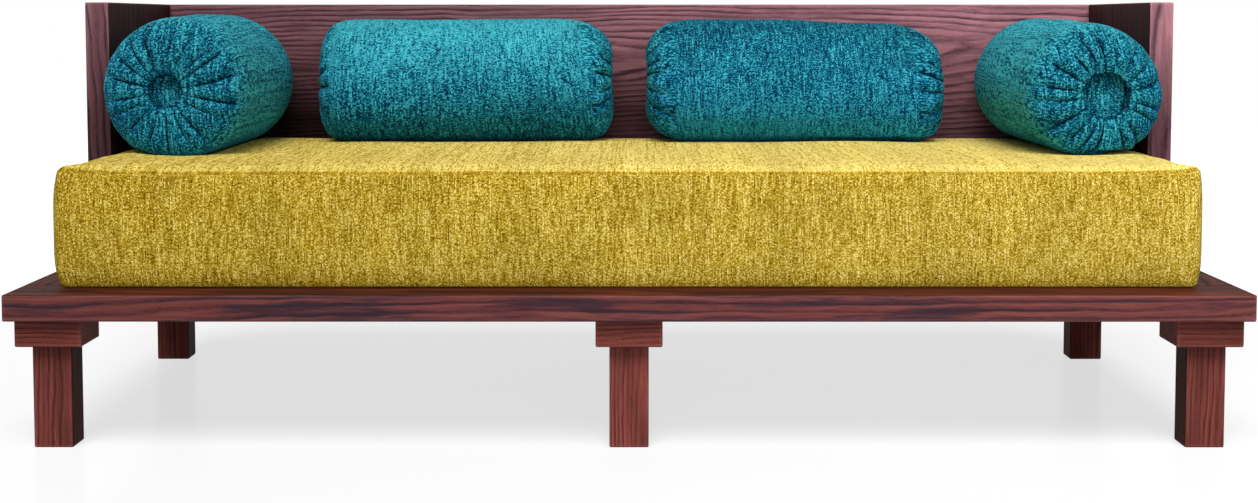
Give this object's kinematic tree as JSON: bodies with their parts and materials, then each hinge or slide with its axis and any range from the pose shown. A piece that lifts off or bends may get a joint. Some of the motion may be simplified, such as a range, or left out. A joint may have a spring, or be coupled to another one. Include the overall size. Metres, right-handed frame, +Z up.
{
  "type": "three-seater sofa",
  "caption": "Low wooden platform sofa on square legs, with arm boards and a back panel, a long loose mattress and gathered bolsters.",
  "frame": {"origin": "on the floor, under the middle of the platform", "axes": "+X along the sofa's length, to the right as seen from the front; +Y from the front to the back; +Z up"},
  "size_m": [2.04, 1, 0.738],
  "materials": {
    "stained_ash": "satin",
    "slat_wood": "matte",
    "zinc_steel": "satin",
    "mustard_chenille": "matte",
    "zip_tape": "matte",
    "seat_foam": "matte",
    "brass_zip": "satin",
    "teal_chenille": "matte",
    "bolster_insert": "matte"
  },
  "bodies": {
    "frame": {"front_rail": "stained_ash", "back_rail": "stained_ash", "end_rail_left": "stained_ash", "end_rail_right": "stained_ash", "centre_rail": "stained_ash", "back_panel": "stained_ash", "arm_left": "stained_ash", "arm_right": "stained_ash", "slat_1": "slat_wood", "slat_2": "slat_wood", "slat_3": "slat_wood", "slat_4": "slat_wood", "slat_5": "slat_wood", "slat_6": "slat_wood", "slat_7": "slat_wood", "slat_8": "slat_wood", "slat_9": "slat_wood", "slat_10": "slat_wood", "leg_front_left": "stained_ash", "leg_block_front_left": "stained_ash", "leg_front_middle": "stained_ash", "leg_block_front_middle": "stained_ash", "leg_front_right": "stained_ash", "leg_block_front_right": "stained_ash", "leg_back_left": "stained_ash", "leg_block_back_left": "stained_ash", "leg_back_middle": "stained_ash", "leg_block_back_middle": "stained_ash", "leg_back_right": "stained_ash", "leg_block_back_right": "stained_ash", "leg_stud_front_left": "zinc_steel", "leg_stud_front_middle": "zinc_steel", "leg_stud_front_right": "zinc_steel", "leg_stud_back_left": "zinc_steel", "leg_stud_back_middle": "zinc_steel", "leg_stud_back_right": "zinc_steel", "arm_screw_left_upper": "zinc_steel", "arm_screw_left_lower": "zinc_steel", "arm_screw_right_upper": "zinc_steel", "arm_screw_right_lower": "zinc_steel", "arm_foot_screw_left_front": "zinc_steel", "arm_foot_screw_left_back": "zinc_steel", "arm_foot_screw_right_front": "zinc_steel", "arm_foot_screw_right_back": "zinc_steel", "back_panel_screw_left": "zinc_steel", "back_panel_screw_centre": "zinc_steel", "back_panel_screw_right": "zinc_steel"},
    "mattress": {"mattress_cover": "mustard_chenille", "mattress_foam": "seat_foam", "mattress_zip": "zip_tape"},
    "zip_slider": {"zip_slider": "brass_zip"},
    "bolster_back_left": {"bolster_cover_back_left": "teal_chenille", "bolster_insert_back_left": "bolster_insert"},
    "bolster_back_right": {"bolster_cover_back_right": "teal_chenille", "bolster_insert_back_right": "bolster_insert"},
    "bolster_end_left": {"bolster_cover_end_left": "teal_chenille", "bolster_insert_end_left": "bolster_insert"},
    "bolster_end_right": {"bolster_cover_end_right": "teal_chenille", "bolster_insert_end_right": "bolster_insert"}
  },
  "joints": [
    {"name": "mattress_lift", "type": "slide", "parent": "frame", "child": "mattress", "axis": [0, 0, 1], "range_m": [0, 0.5]},
    {"name": "zip_slide", "type": "slide", "parent": "mattress", "child": "zip_slider", "axis": [1, 0, 0], "range_m": [0, 1.5]},
    {"name": "bolster_back_left_lift", "type": "slide", "parent": "mattress", "child": "bolster_back_left", "axis": [0, 0, 1], "range_m": [0, 0.3]},
    {"name": "bolster_back_right_lift", "type": "slide", "parent": "mattress", "child": "bolster_back_right", "axis": [0, 0, 1], "range_m": [0, 0.3]},
    {"name": "bolster_end_left_lift", "type": "slide", "parent": "mattress", "child": "bolster_end_left", "axis": [0, 0, 1], "range_m": [0, 0.3]},
    {"name": "bolster_end_right_lift", "type": "slide", "parent": "mattress", "child": "bolster_end_right", "axis": [0, 0, 1], "range_m": [0, 0.3]}
  ]
}
